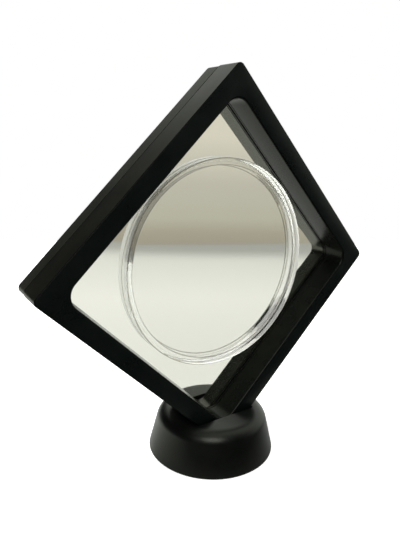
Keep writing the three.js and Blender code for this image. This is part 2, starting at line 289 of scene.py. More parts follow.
# the front face: polished tool, a cool deep black that mirrors the room softly
polishedFace = mouldedAbs("blackAbsPolishedFace", {
    "darkTone": "#040a0a", "lightTone": "#070e0d", "roughness": 0.3, "smudge": 0.04, "smudgeSize": 14,
    "grain": 0.05, "grainSize": 0.5, "grainDepth": 0.02, "shine": 0.35,
})
# eased and rounded edges, darker and nearly without shine: painted shade, which draws the thin dark lines
paintedShadeEdge = mouldedAbs("blackAbsEdgePaintedShade", {
    "darkTone": "#020303", "lightTone": "#040505", "roughness": 0.6, "smudge": 0.05, "smudgeSize": 12,
    "grain": 0.1, "grainSize": 0.5, "grainDepth": 0.02, "shine": 0.06,
})
# the front half's outer sides: grained, a warmer black
satinSide = mouldedAbs("blackAbsSatinSide", {
    "darkTone": "#0a0b08", "lightTone": "#0f100b", "roughness": 0.36, "smudge": 0.04, "smudgeSize": 18,
    "grain": 0.35, "grainSize": 0.45, "grainDepth": 0.05, "shine": 0.5,
})
# the front half's opening walls and the clamp rings: smooth, with a little shine
frontInside = mouldedAbs("blackAbsFrontInside", {
    "darkTone": "#0c0e0b", "lightTone": "#12140f", "roughness": 0.28, "smudge": 0.03, "smudgeSize": 16,
    "grain": 0.015, "grainSize": 0.5, "grainDepth": 0.02, "shine": 0.12,
})
# the rear half's opening walls: smooth, and bright where they mirror the room; a lighter tone and more shine
# than the front half's walls of the same ABS, a painted sheen
rearInsidePaintedSheen = mouldedAbs("blackAbsRearInsidePaintedSheen", {
    "darkTone": "#11130f", "lightTone": "#171913", "roughness": 0.28, "smudge": 0.03, "smudgeSize": 12,
    "grain": 0.02, "grainSize": 0.5, "grainDepth": 0.02, "shine": 0.7,
})
# the rear half's outer sides: grained, with a broad soft shine
satinRearSide = mouldedAbs("blackAbsSatinRearSide", {
    "darkTone": "#0b0c09", "lightTone": "#11120c", "roughness": 0.5, "smudge": 0.04, "smudgeSize": 18,
    "grain": 0.35, "grainSize": 0.45, "grainDepth": 0.05, "shine": 0.8,
})
# the stand: grained, with soft highlights on its round shoulder
satinStand = mouldedAbs("blackAbsStand", {
    "darkTone": "#040606", "lightTone": "#070908", "roughness": 0.34, "smudge": 0.04, "smudgeSize": 9,
    "grain": 0.3, "grainSize": 0.5, "grainDepth": 0.05, "shine": 0.29,
})

styreneFinish = {
    "colour": "#fcfcfa", "roughness": 0.07, "ior": 1.3, "contact": 0.0, "haze": 0.0,
    "ripple": 0.01, "rippleSize": 14, "rippleDepth": 0.1,
}
# the films: a faint grey, with slow ripples from the stretching
clearFilm = clearPlastic("stretchedClearFilm", {
    **styreneFinish, "colour": "#f7f7f4", "ior": 1.15, "ripple": 0.1, "rippleSize": 22,
})
# the capsule, and then its surfaces that look different: fillets and rounds are tinted grey, painted shade
# that draws its thin grey lines
clearStyrene = clearPlastic("clearPolystyrene", styreneFinish)
clearBore = clearPlastic("clearPolystyreneBore", {**styreneFinish, "ior": 1.14, "contact": 0.5})
clearEdge = clearPlastic("clearPolystyreneEdge", {**styreneFinish, "ior": 1.14, "haze": 0.35})
filletPaintedShade = clearPlastic("clearPolystyreneFilletPaintedShade", {**styreneFinish, "colour": "#7c7c76", "contact": 0.2})
roundPaintedShade = clearPlastic("clearPolystyreneRoundPaintedShade", {**styreneFinish, "colour": "#989892"})
clearLap = clearPlastic("clearPolystyreneLap", {**styreneFinish, "ior": 1.2, "contact": 0.9})
clearWindow = clearPlastic("clearPolystyreneWindow", {
    **styreneFinish, "colour": "#fefefe", "roughness": 0.01, "ior": 1.13, "ripple": 0.04, "rippleSize": 12,
})
wireSteel = drawnSteel("drawnSteelWire")
print("materials ready")


loopSettings = {
    "layerGap": 10.0,        # between loops while they are bridged
    "straightShare": 0.9,    # an edge longer than this share of the longest one is a straight side
}


def cornerRadius(inset, openingCorner):
    # outer corner radius at the outer side, the opening's at the bar's width
    share = inset / caseSettings["barWidth"]
    return caseSettings["outerCorner"] + (openingCorner - caseSettings["outerCorner"]) * share


def addSquareLoop(bm, inset, layer, openingCorner, sideCuts=0):
    # a rounded square at one inset, added as a loop of edges in its own layer
    loop = bmesh.new()
    bmesh.ops.create_grid(loop, x_segments=1, y_segments=1, size=halfSide - inset)
    bmesh.ops.bevel(
        loop, geom=loop.verts[:], offset=cornerRadius(inset, openingCorner), affect="VERTICES",
        segments=caseSettings["cornerSegments"], profile=0.5, material=-1,
    )
    if sideCuts:
        limit = max(edge.calc_length() for edge in loop.edges) * loopSettings["straightShare"]
        sides = [edge for edge in loop.edges if edge.calc_length() > limit]
        bmesh.ops.subdivide_edges(loop, edges=sides, cuts=sideCuts)
    bmesh.ops.delete(loop, geom=loop.faces[:], context="FACES_ONLY")
    turn = Matrix.Translation((0, layer * loopSettings["layerGap"], 0)) @ turnAbout("X", quarterTurn)
    bmesh.ops.transform(loop, matrix=turn, verts=loop.verts)
    carrier = bpy.data.meshes.new("loop")
    loop.to_mesh(carrier)
    loop.free()
    first = len(bm.edges)
    bm.from_mesh(carrier)
    bpy.data.meshes.remove(carrier)
    bm.edges.ensure_lookup_table()
    return bm.edges[first:]


def settleLayers(bm, depths):
    # bridged a layer at a time, the loops go to their own depths
    for vert in bm.verts:
        vert.co.y = depths[round(vert.co.y / loopSettings["layerGap"])]


def quarterRound(centre, radius, fromTurn, toTurn):
    # points round a part of a circle in a section, its turns in quarters
    steps = caseSettings["roundSegments"]
    points = []
    for step in range(steps + 1):
        angle = quarterTurn * (fromTurn + (toTurn - fromTurn) * step / steps)
        points.append((centre[0] + math.cos(angle) * radius, centre[1] + math.sin(angle) * radius))
    return points


def sweptBar(section, openingCorner):
    # a bar's section of (inset from the outer side, place along the depth) carried round the square:
    # one loop a point, bridged one to the next
    bm = bmesh.new()
    around = section + section[:1]
    loops = [addSquareLoop(bm, inset, layer, openingCorner) for layer, (inset, _) in enumerate(around)]
    for near, far in zip(loops, loops[1:]):
        bmesh.ops.bridge_loops(bm, edges=near + far)
    settleLayers(bm, [depth for _, depth in around])
    bmesh.ops.remove_doubles(bm, verts=bm.verts, dist=closeEnough)
    return bm


filmSettings = {
    "thickness": 0.25,
    "clampGap": 0.12,
    "held": 1.6,             # how much of it the ring clamps
    "toCapsule": 0.2,
    "sideCuts": 25,
    "slopeCuts": 9,
    "relaxSteps": 60,
    "relaxShare": 0.5,
    "rimInset": 0.5,
    "rimRings": 3,
    "smoothAngle": 60,
}

ringSettings = {
    "thickness": 1.0,
    "width": 2.9,
    "lipWidth": 0.9,
    "lipDepth": 2.5,
    "ease": 0.4,             # the inner edge eases off at the parting line
    "easeDepth": 0.8,
}

hingeSettings = {
    "knuckleRadius": 1.4,
    "knuckleLength": 5.0,
    "knuckleCount": 3,
    "gap": 0.3,
    "relief": 0.25,
    "spread": 40.0,
    "pinRadius": 0.55,
    "pinClearance": 0.08,
    "endShy": 0.03,          # keeps a knuckle's end off the plane of its neighbour's relief
    "segments": 48,
}

latchSettings = {
    "tongueLength": 8.0,
    "tongueThickness": 1.1,
    "tongueReach": 3.0,
    "tongueTaper": 0.3,
    "clearance": 0.3,
    "spread": 50.0,
    "scoopRadius": 12.0,
    "scoopDepth": 1.2,
    "scoopWidth": 5.0,
    "scoopPlace": 30.0,
    "scoopSegments": 192,
    "ribThickness": 1.2,
    "ribCount": 4,
    "ribPitch": 24.0,
    "ribDrop": 0.05,         # ribs end this far under the parting face
}

partGap = caseSettings["partingGap"] / 2
frontPart = partingPlane - partGap
rearPart = partingPlane + partGap
frontFloor = frontFace + caseSettings["faceSkin"]
rearFloor = rearFace - caseSettings["faceSkin"]
channelInset = caseSettings["barWidth"] - caseSettings["innerWall"]
shelfDepth = ringSettings["thickness"] + 2 * filmSettings["clampGap"] + filmSettings["thickness"]
knucklePitch = hingeSettings["knuckleLength"] + hingeSettings["gap"]
hingeLength = knucklePitch * hingeSettings["knuckleCount"] - hingeSettings["gap"]
hingeMiddles = {"upper": hingeSettings["spread"] / 2, "lower": -hingeSettings["spread"] / 2}
tongueMiddles = (-latchSettings["spread"] / 2, latchSettings["spread"] / 2)


def hingeRod(name, radius, start, end):
    # a round rod on the hinge's axis, along the lower right side
    bm = bmesh.new()
    bmesh.ops.create_cone(
        bm, cap_ends=True, segments=hingeSettings["segments"], radius1=radius, radius2=radius,
        depth=end - start,
    )
    middle = Matrix.Translation(((start + end) / 2, partingPlane, -halfSide))
    return pieceFrom(name, bm, toCase() @ middle @ turnAbout("Y", quarterTurn))


def addKnuckles(shell, parity):
    # clear the other half's knuckles first, then grow this half's, then bore for the pin
    gap, shy = hingeSettings["gap"], hingeSettings["endShy"]
    length, radius = hingeSettings["knuckleLength"], hingeSettings["knuckleRadius"]
    pinBore = hingeSettings["pinRadius"] + hingeSettings["pinClearance"]
    for middle in hingeMiddles.values():
        first, last = middle - hingeLength / 2, middle + hingeLength / 2
        starts = [first + index * knucklePitch for index in range(hingeSettings["knuckleCount"])]
        for start in starts[1 - parity::2]:
            rod = hingeRod("relief", radius + hingeSettings["relief"], start - gap, start + length + gap)
            combine(shell, rod, "DIFFERENCE")
        for start in starts[parity::2]:
            combine(shell, hingeRod("knuckle", radius, start + shy, start + length - shy), "UNION")
        combine(shell, hingeRod("pinBore", pinBore, first - overrun, last + overrun), "DIFFERENCE")


def cutScoop(shell):
    # the thumb scoop across the parting line, on the side with the latches
    bm = bmesh.new()
    radius = latchSettings["scoopRadius"]
    bmesh.ops.create_cone(
        bm, cap_ends=True, segments=latchSettings["scoopSegments"], radius1=radius, radius2=radius,
        depth=latchSettings["scoopWidth"],
    )
    out = halfSide - latchSettings["scoopDepth"] + radius
    middle = Matrix.Translation((out, partingPlane, latchSettings["scoopPlace"]))
    place = middle @ turnAbout("X", quarterTurn)
    combine(shell, pieceFrom("scoop", bm, toCase() @ place), "DIFFERENCE")


def letLightPass(piece):
    # light that comes off other pieces, and the lamps', goes straight through a clear one
    piece.visible_glossy = False
    piece.visible_diffuse = False
    piece.visible_shadow = False


def assignFaces(piece, material, picks):
    # the faces that a test picks take one more material
    spot = len(piece.data.materials)
    piece.data.materials.append(material)
    for polygon in piece.data.polygons:
        if picks(polygon):
            polygon.material_index = spot


caseFaces = {                # by how far a face's normal points forward, 1 being straight forward
    "forward": 0.98,         # more than this: a front face
    "eased": 0.05,           # between this and that: an edge that is eased or rounded towards the front
    "opening": 0.8,          # less than this, forward or back: a wall of the opening, if it is also
    "openingReach": 0.3,     # no further than this outside the bar's inner side
}


def looksForward(polygon):
    return polygon.normal.y < -caseFaces["forward"]


def onEasedEdge(polygon):
    return -caseFaces["forward"] < polygon.normal.y < -caseFaces["eased"]


def facesOpening(polygon):
    # on the walls of a case half's opening, its rounded corners too
    place = toCase().inverted() @ polygon.center
    inset = halfSide - max(abs(place.x), abs(place.z))
    across = abs(polygon.normal.y) < caseFaces["opening"]
    return across and inset > caseSettings["barWidth"] - caseFaces["openingReach"]


def addChannelWall(shell, name, start, end, side=0):
    # a thin wall across the front half's channel, turned with the side that it is on
    inner = halfSide - (caseSettings["barWidth"] - ringSettings["width"] - latchSettings["clearance"])
    outer = halfSide - caseSettings["outerWall"] / 2
    low = Vector((start, frontFloor - caseSettings["faceSkin"] / 2, inner))
    high = Vector((end, frontPart - latchSettings["ribDrop"], outer))
    bm = bmesh.new()
    bmesh.ops.create_cube(bm, size=1)
    size = Matrix.Diagonal((*(high - low), 1))
    place = turnAbout("Y", quarterTurn * side) @ Matrix.Translation((low + high) / 2) @ size
    combine(shell, pieceFrom(name, bm, toCase() @ place), "UNION")


def addRibs(shell):
    count, thick = latchSettings["ribCount"], latchSettings["ribThickness"]
    for side in range(4):
        for index in range(count):
            middle = (index - (count - 1) / 2) * latchSettings["ribPitch"]
            addChannelWall(shell, "rib", middle - thick / 2, middle + thick / 2, side)


def addSockets(shell):
    # a wall on either side of each latch tongue of the rear half
    reach = latchSettings["tongueLength"] / 2 + latchSettings["clearance"]
    for middle in tongueMiddles:
        for way in (-1, 1):
            near = middle + way * reach
            start, end = sorted((near, near + way * latchSettings["ribThickness"]))
            addChannelWall(shell, "socketWall", start, end)


def makeFrontShell():
    inner = caseSettings["frontInnerRound"]
    outer = caseSettings["frontOuterRound"]
    section = [
        (0, frontPart - caseSettings["partingEase"]),
        (caseSettings["partingEaseDepth"], frontPart),
        (caseSettings["outerWall"], frontPart),
        (caseSettings["outerWall"], frontFloor),
        (channelInset, frontFloor),
        (channelInset, frontPart - shelfDepth),
        (caseSettings["barWidth"], frontPart - shelfDepth),
        *quarterRound((caseSettings["barWidth"] - inner, frontFace + inner), inner, 0, -1),
        *quarterRound((outer, frontFace + outer), outer, -1, -2),
    ]
    shell = pieceFrom("frontShell", sweptBar(section, caseSettings["frontOpeningCorner"]), toCase())
    addRibs(shell)
    addSockets(shell)
    cutScoop(shell)
    addKnuckles(shell, 0)
    dress(shell, satinSide, "front_half", "case_abs", "front_frame")
    assignFaces(shell, polishedFace, looksForward)
    # the front's eased and rounded edges take the painted shade
    assignFaces(shell, paintedShadeEdge, onEasedEdge)
    assignFaces(shell, frontInside, facesOpening)
    shadeByAngle(shell, caseSettings["smoothAngle"])


def addTongue(shell, middle):
    # a latch tongue that tapers at its tip, rooted in the rear half's outer wall and face
    clearance = latchSettings["clearance"]
    thick, taper = latchSettings["tongueThickness"], latchSettings["tongueTaper"]
    wall = halfSide - caseSettings["outerWall"] / 2
    outer = halfSide - caseSettings["outerWall"] - clearance
    inner = outer - thick
    tip = rearPart - latchSettings["tongueReach"]
    root = rearFace - caseSettings["faceSkin"] / 2
    length = latchSettings["tongueLength"]
    outline = [
        (root, wall), (rearPart + clearance, wall), (rearPart + clearance, outer), (tip + thick, outer),
        (tip, outer - taper), (tip, inner + taper), (tip + thick, inner), (root, inner),
    ]
    bm = bmesh.new()
    side = bm.faces.new([bm.verts.new((middle - length / 2, y, z)) for y, z in outline])
    pushed = bmesh.ops.extrude_face_region(bm, geom=[side])
    verts = [item for item in pushed["geom"] if isinstance(item, bmesh.types.BMVert)]
    bmesh.ops.translate(bm, verts=verts, vec=(length, 0, 0))
    combine(shell, pieceFrom("tongue", bm, toCase()), "UNION")


def makeRearShell():
    step = caseSettings["rearStep"]
    edge = caseSettings["rearOuterRound"]
    section = [
        (caseSettings["partingEaseDepth"], rearPart),
        (step, rearPart + caseSettings["partingEase"]),
        *quarterRound((step + edge, rearFace - edge), edge, 2, 1),
        (caseSettings["rearBarWidth"], rearFace),
        (caseSettings["barWidth"], rearPart + shelfDepth),
        (channelInset, rearPart + shelfDepth),
        (channelInset, rearFloor),
        (caseSettings["outerWall"], rearFloor),
        (caseSettings["outerWall"], rearPart),
    ]
    shell = pieceFrom("rearShell", sweptBar(section, caseSettings["rearOpeningCorner"]), toCase())
    for middle in tongueMiddles:
        addTongue(shell, middle)
    cutScoop(shell)
    addKnuckles(shell, 1)
    dress(shell, satinRearSide, "rear_half", "case_abs", "rear_frame")
    # the rear's eased parting edge takes the painted shade, which draws the dark parting line
    assignFaces(shell, paintedShadeEdge, onEasedEdge)
    # the rear opening's walls take the lighter copy with painted sheen
    assignFaces(shell, rearInsidePaintedSheen, facesOpening)
    shadeByAngle(shell, caseSettings["smoothAngle"])


def makeClampRing(name, near, away, openingCorner, body, node):
    # an L-shaped section: the flat that clamps the film, and a lip inside the channel
    outer = caseSettings["barWidth"] - ringSettings["width"]
    lip = outer + ringSettings["lipWidth"]
    under = near + away * ringSettings["thickness"]
    lipEnd = under + away * ringSettings["lipDepth"]
    section = [
        (outer, near),
        (outer, lipEnd),
        (lip, lipEnd),
        (lip, under),
        (caseSettings["barWidth"], under),
        (caseSettings["barWidth"], near + away * ringSettings["ease"]),
        (caseSettings["barWidth"] - ringSettings["easeDepth"], near),
    ]
    ring = pieceFrom(name, sweptBar(section, openingCorner), toCase())
    dress(ring, frontInside, body, "ring_abs", node)
    shadeByAngle(ring, caseSettings["smoothAngle"])


def makeHingePin(which):
    middle = hingeMiddles[which]
    reach = hingeLength / 2 - hingeSettings["gap"]
    name = "hingePin" + which.capitalize()
    pin = hingeRod(name, hingeSettings["pinRadius"], middle - reach, middle + reach)
    dress(pin, wireSteel, "front_half", "pin_steel", "hinge_pin_" + which)
    shadeByAngle(pin, caseSettings["smoothAngle"])


makeFrontShell()
makeRearShell()
makeClampRing("frontClampRing", frontPart, -1, caseSettings["frontOpeningCorner"],
              "front_half", "front_film_ring")
makeClampRing("rearClampRing", rearPart, 1, caseSettings["rearOpeningCorner"],
              "rear_half", "rear_film_ring")
for which in hingeMiddles:
    makeHingePin(which)


turningSettings = {
    "sharpAngle": 40,        # edges that turn more than this are softened
    "softSegments": 2,
}

capsuleSettings = {
    "radius": 43.1,
    "thickness": 7.8,
    "window": 1.6,
    "rim": 3.1,              # from the inner space to the outer edge
    "lap": 1.3,
    "edge": 0.7,
    "seam": 0.3,
    "softEdge": 0.4,
    "steps": 360,
    "smoothAngle": 50,
}

capsuleFaces = {             # by how far a face's normal points along the axis, forward or back
    "wall": 0.2,             # less than this: a wall round the axis
    "round": 0.9,            # between that and this: one of the outer rounds
    "flat": 0.97,            # between the first and this: a fillet; more than this: a flat window
    "reach": 0.1,            # how far a face's middle may be off its surface
    "filletReach": 0.5,
}

boreRadius = capsuleSettings["radius"] - capsuleSettings["rim"]
innerFace = capsuleSettings["thickness"] / 2 - capsuleSettings["window"]


def turnedPiece(name, profile, axis, place, steps, softEdge=0.0):
    # a profile of (radius, along) points spun about an axis, with its sharp edges softened
    bm = bmesh.new()
    verts = [bm.verts.new(Vector((radius, 0, 0)) + axis * along) for radius, along in profile]
    edges = [bm.edges.new(pair) for pair in zip(verts, verts[1:])]
    bmesh.ops.spin(
        bm, geom=verts + edges, cent=(0, 0, 0), axis=axis, angle=4 * quarterTurn, steps=steps,
        use_merge=True,
    )
    bmesh.ops.remove_doubles(bm, verts=bm.verts, dist=closeEnough)
    bmesh.ops.recalc_face_normals(bm, faces=bm.faces)
    if softEdge:
        limit = math.radians(turningSettings["sharpAngle"])
        sharp = [edge for edge in bm.edges if len(edge.link_faces) == 2 and edge.calc_face_angle() > limit]
        bmesh.ops.bevel(
            bm, geom=sharp, offset=softEdge, affect="EDGES", segments=turningSettings["softSegments"],
            profile=0.5, material=-1, clamp_overlap=True,
        )
    return pieceFrom(name, bm, place)


def fromAxis(polygon):
    # how far a capsule face is from the axis, and along it from the parting plane
    place = (polygon.center - capsuleCentre) / mm
    return math.hypot(place.x, place.z), place.y - partingPlane


def onWall(polygon):
    return abs(polygon.normal.y) < capsuleFaces["wall"]


def onEdge(polygon):
    return onWall(polygon) and fromAxis(polygon)[0] > capsuleSettings["radius"] - capsuleFaces["reach"]


def inLap(polygon):
    out, along = fromAxis(polygon)
    inner = boreRadius + capsuleSettings["softEdge"]
    outer = capsuleSettings["radius"] - capsuleSettings["edge"] / 2
    return inner < out < outer and abs(along) < innerFace + capsuleFaces["reach"]


def onBore(polygon):
    return onWall(polygon) and fromAxis(polygon)[0] < boreRadius + capsuleSettings["softEdge"]


def onFillet(polygon):
    # the small fillets at both ends of the bore, tinted grey as painted shade that shows as its outline
    slanted = capsuleFaces["wall"] < abs(polygon.normal.y) < capsuleFaces["flat"]
    return slanted and abs(fromAxis(polygon)[0] - boreRadius) < capsuleFaces["filletReach"]


def onRound(polygon):
    # the round at the outer corner of each half, tinted grey as painted shade that outlines the rim
    slanted = capsuleFaces["wall"] < abs(polygon.normal.y) < capsuleFaces["round"]
    return slanted and fromAxis(polygon)[0] > capsuleSettings["radius"] - capsuleSettings["edge"]


def onWindow(polygon):
    return abs(polygon.normal.y) > capsuleFaces["flat"]


def makeCapsule():
    radius = capsuleSettings["radius"]
    face = capsuleSettings["thickness"] / 2
    lap = boreRadius + capsuleSettings["lap"]
    seam = capsuleSettings["seam"]
    edge = capsuleSettings["edge"]
    rear = [
        (0, innerFace), (boreRadius, innerFace), (boreRadius, seam - innerFace), (lap, seam - innerFace),
        (lap, seam / 2), (radius, seam / 2),
        *[(radius - edge + x, face - edge + y) for x, y in quarterRound((0, 0), edge, 0, 1)],
        (boreRadius, face), (0, face),
    ]
    front = [
        (0, -face), (boreRadius, -face),
        *[(radius - edge + x, edge - face + y) for x, y in quarterRound((0, 0), edge, -1, 0)],
        (radius, -seam / 2), (lap + seam, -seam / 2), (lap + seam, -innerFace), (boreRadius, -innerFace),
        (0, -innerFace),
    ]
    place = Matrix.Translation(capsuleCentre + alongDepth * (partingPlane * mm)) @ toMetres
    # fillets and rounds take a grey tint, painted shade for their lines
    looks = (
        (clearEdge, onEdge), (clearWindow, onWindow), (clearLap, inLap), (clearBore, onBore),
        (filletPaintedShade, onFillet), (roundPaintedShade, onRound),
    )
    for name, profile, body, node in (
        ("capsuleRear", rear, "capsule_rear", "capsule_base"),
        ("capsuleFront", front, "capsule_front", "capsule_lid"),
    ):
        half = turnedPiece(name, profile, alongDepth, place, capsuleSettings["steps"],
                           capsuleSettings["softEdge"])
        dress(half, clearStyrene, body, "clear_styrene", node)
        for material, picks in looks:
            assignFaces(half, material, picks)
        shadeByAngle(half, capsuleSettings["smoothAngle"])
        letLightPass(half)


makeCapsule()


filmInset = caseSettings["barWidth"] - filmSettings["held"]


def rimCircle(bm, count, layer):
    # a circle over the capsule's edge, its points in line with the square's
    circle = bmesh.ops.create_circle(
        bm, cap_ends=False, segments=count, radius=capsuleSettings["radius"],
    )["verts"]
    middle = toCase().inverted() @ Vector((capsuleCentre.x, 0, capsuleCentre.z))
    place = Matrix.Translation((middle.x, layer * loopSettings["layerGap"], middle.z))
    turn = turnAbout("X", quarterTurn) @ turnAbout("Z", -cornerTurn)
    bmesh.ops.transform(bm, matrix=place @ turn, verts=circle)
    return list({edge for vert in circle for edge in vert.link_edges})


def filmSurface(clampDepth, standDepth, openingCorner):
    # clamped flat round the opening, drawn up to the capsule's edge like a soap film, flat over it
    bm = bmesh.new()
    cuts = filmSettings["sideCuts"]
    clampLoop = addSquareLoop(bm, filmInset, 0, openingCorner, cuts)
    openLoop = addSquareLoop(bm, caseSettings["barWidth"], 1, openingCorner, cuts)
    rimLoop = rimCircle(bm, len(openLoop), 2)
    bmesh.ops.bridge_loops(bm, edges=clampLoop + openLoop)
    slope = bmesh.ops.bridge_loops(bm, edges=openLoop + rimLoop)["faces"]
    ladder = {edge for face in slope for edge in face.edges} - set(openLoop) - set(rimLoop)
    settleLayers(bm, [clampDepth, clampDepth, standDepth])
    bmesh.ops.subdivide_edges(bm, edges=list(ladder), cuts=filmSettings["slopeCuts"], use_grid_fill=True)
    low, high = sorted((clampDepth, standDepth))
    free = [vert for vert in bm.verts if low + closeEnough < vert.co.y < high - closeEnough]
    for _ in range(filmSettings["relaxSteps"]):
        bmesh.ops.smooth_vert(bm, verts=free, factor=filmSettings["relaxShare"], use_axis_x=True,
                              use_axis_y=True, use_axis_z=True)
    rim = [edge for edge in bm.edges if edge.is_boundary
           and abs(edge.verts[0].co.y - standDepth) < closeEnough]
    disc = bmesh.ops.contextual_create(bm, geom=rim)["faces"]
    for _ in range(filmSettings["rimRings"]):
        bmesh.ops.inset_region(bm, faces=disc, thickness=filmSettings["rimInset"])
    return bm


def makeFilm(name, near, away, openingCorner, body, node):
    clampDepth = near + away * (ringSettings["thickness"] + filmSettings["clampGap"])
    standDepth = partingPlane + away * (capsuleSettings["thickness"] / 2 + filmSettings["toCapsule"])
    film = pieceFrom(name, filmSurface(clampDepth, standDepth, openingCorner), toCase())
    outward = sum(polygon.normal.y * polygon.area for polygon in film.data.polygons) * away > 0
    wall = film.modifiers.new("thickness", "SOLIDIFY")
    wall.thickness = filmSettings["thickness"] * mm
    wall.offset = 1.0 if outward else -1.0
    dress(film, clearFilm, body, "clear_film", node)
    shadeByAngle(film, filmSettings["smoothAngle"])
    letLightPass(film)
    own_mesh(film)


makeFilm("frontFilm", frontPart, -1, caseSettings["frontOpeningCorner"], "front_half", "front_film")
makeFilm("rearFilm", rearPart, 1, caseSettings["rearOpeningCorner"], "rear_half", "rear_film")


standSettings = {
    "radius": 27.7,
    "topRadius": 23.2,
    "height": 18.2,
    "shoulder": 5.8,
    "wall": 2.0,
    "footEdge": 0.4,
    "pocketClearance": 0.35,
    "pocketDraft": 2.0,
    "pocketLift": 0.3,
    "pocketWall": 1.6,
    "seat": 0.3,
    "cornerAboveTable": 3.7,
    "shoulderSteps": 16,
    "steps": 160,
    "smoothAngle": 30,
}


def domeOutline(inset, lowest):
    # the stand's side and round shoulder, or with an inset the hollow under them
    radius, top = standSettings["radius"], standSettings["topRadius"]
    height = standSettings["height"]
    slope = math.atan2(radius - top, height)
    shoulder = standSettings["shoulder"]
    reach = top * math.cos(slope) + height * math.sin(slope)
    centreUp = height - shoulder
    centreOut = (reach - shoulder - centreUp * math.sin(slope)) / math.cos(slope)
    points = [((reach - inset - lowest * math.sin(slope)) / math.cos(slope), lowest)]
    for step in range(standSettings["shoulderSteps"] + 1):
        angle = slope + (quarterTurn - slope) * step / standSettings["shoulderSteps"]
        out = centreOut + math.cos(angle) * (shoulder - inset)
        points.append((out, centreUp + math.sin(angle) * (shoulder - inset)))
    points.append((0, height - inset))
    return points


def pocketBlock(name, wall, top):
    # the V-shaped pocket, or the trough that it is cut in
    sharp = standSettings["cornerAboveTable"] - standSettings["seat"] * math.sqrt(2)
    floor = sharp + standSettings["pocketLift"] - wall
    draft = math.tan(math.radians(standSettings["pocketDraft"]))
    bm = bmesh.new()
    bmesh.ops.create_cube(bm, size=2)
    for vert in bm.verts:
        height = top if vert.co.z > 0 else floor
        rise = height - sharp
        vert.co.x *= rise + wall * math.sqrt(2)
        vert.co.y *= rearFace + standSettings["pocketClearance"] + rise * draft + wall
        vert.co.z = height
    return pieceFrom(name, bm, toMetres)


def makeStand():
    height, edge = standSettings["height"], standSettings["footEdge"]
    steps = standSettings["steps"]
    outline = domeOutline(0, edge)
    foot = [(0, 0), (outline[0][0] - edge, 0)]
    under = [(0, -overrun)] + domeOutline(standSettings["wall"], -overrun)
    stand = turnedPiece("stand", foot + outline, upright, toMetres, steps)
    hollow = turnedPiece("hollow", under, upright, toMetres, steps)
    combine(hollow, pocketBlock("trough", standSettings["pocketWall"], height), "DIFFERENCE")
    combine(stand, hollow, "DIFFERENCE")
    combine(stand, pocketBlock("pocket", 0, height + overrun), "DIFFERENCE")
    dress(stand, satinStand, "stand", "stand_abs", "stand_base")
    shadeByAngle(stand, standSettings["smoothAngle"])


makeStand()
print("pieces ready")


cameraSettings = {
    "place": (-117.95, -162.07, 132.96),
    "turn": (73.338, -1.784, -34.490),    # about X, Y and Z
    "lens": 34.05,
    "sensorWidth": 36,
    "shift": (-0.0141, 0.0392),           # shares of the picture's longer side
    "nearest": 5,
}

roomSettings = {
    "wall": [                             # linear colours up the wall, by the sine of the view's elevation
        (-0.21, (0.4, 0.37, 0.305, 1.0)),
        (-0.17, (0.46, 0.43, 0.345, 1.0)),
        (-0.14, (0.56, 0.55, 0.45, 1.0)),
        (-0.06, (0.61, 0.59, 0.51, 1.0)),
        (0.0, (0.77, 0.74, 0.63, 1.0)),
    ],
    "slope": (1.0, 0.0, 1.0),             # the room is brightest up to the right
    "reach": 0.75,                        # how far along the slope it is at its brightest
    "curve": 4.5,                         # the higher, the more of it stays dark
    "low": 0.02,                          # its strength where it is darkest and brightest
    "high": 1.1,
    "frontSpan": (-0.7, -0.3),            # along Y, where it dims towards the front
    "frontLow": 0.1,                      # and the share that is left there
    "tint": (0.98, 1.01, 0.95, 1.0),      # of what the pieces mirror
    "fill": 0.8,                          # the even light on all pieces
    "white": (1.0, 1.0, 1.0, 1.0),
}

tableSettings = {
    "reach": 650.0,                       # from the camera to the table's far edge
    "turn": 6.0,                          # off square to the view
    "side": 1500.0,
    "colour": "#f0f0ec",
    "glow": 0.62,                         # what the camera sees of it without any lamp
    "through": (1.0, 1.015, 0.945, 1.0),  # its tint through the films
    "fade": [                             # how it dims behind the films, by metres from the camera
        (0.28, 0.92), (0.4, 1.0), (0.54, 0.86), (0.56, 0.8),
        (0.59, 0.58), (0.61, 0.47), (0.65, 0.44),
    ],
    # what the pieces mirror of it is a painted glow: bright behind the stand, nearly dark in front
    "mirroredGlowBehind": 1.3,
    "mirroredGlowFront": 0.03,
    "glossSpan": 50,                      # the painted glow changes within this far of the stand's middle
}

lampSettings = {
    "softboxAbove": {                     # lights the pieces and isn't mirrored in them
        "place": (-150, 100, 700), "aim": (0, 0, 60), "side": 500, "watts": 6, "mirrored": False,
    },
    "windowBehindCamera": {               # seen only where it is mirrored
        "place": (-250, -400, 380), "aim": (0, 0, 15), "side": 300, "watts": 1.5, "mirrored": True,
    },
}


def blendAlong(tree, value, stops):
    # colours blended along a value, each stop a value and its colour
    low, high = stops[0][0], stops[-1][0]
    share = addNode(tree, "ShaderNodeMapRange", {"Value": value, "From Min": low, "From Max": high})
    blend = addNode(tree, "ShaderNodeValToRGB", {"Fac": share.outputs["Result"]})
    elements = blend.color_ramp.elements
    for index, (place, colour) in enumerate(stops):
        element = elements[index] if index < 2 else elements.new(1.0)
        element.position = (place - low) / (high - low)
        element.color = colour
    return blend.outputs["Color"]


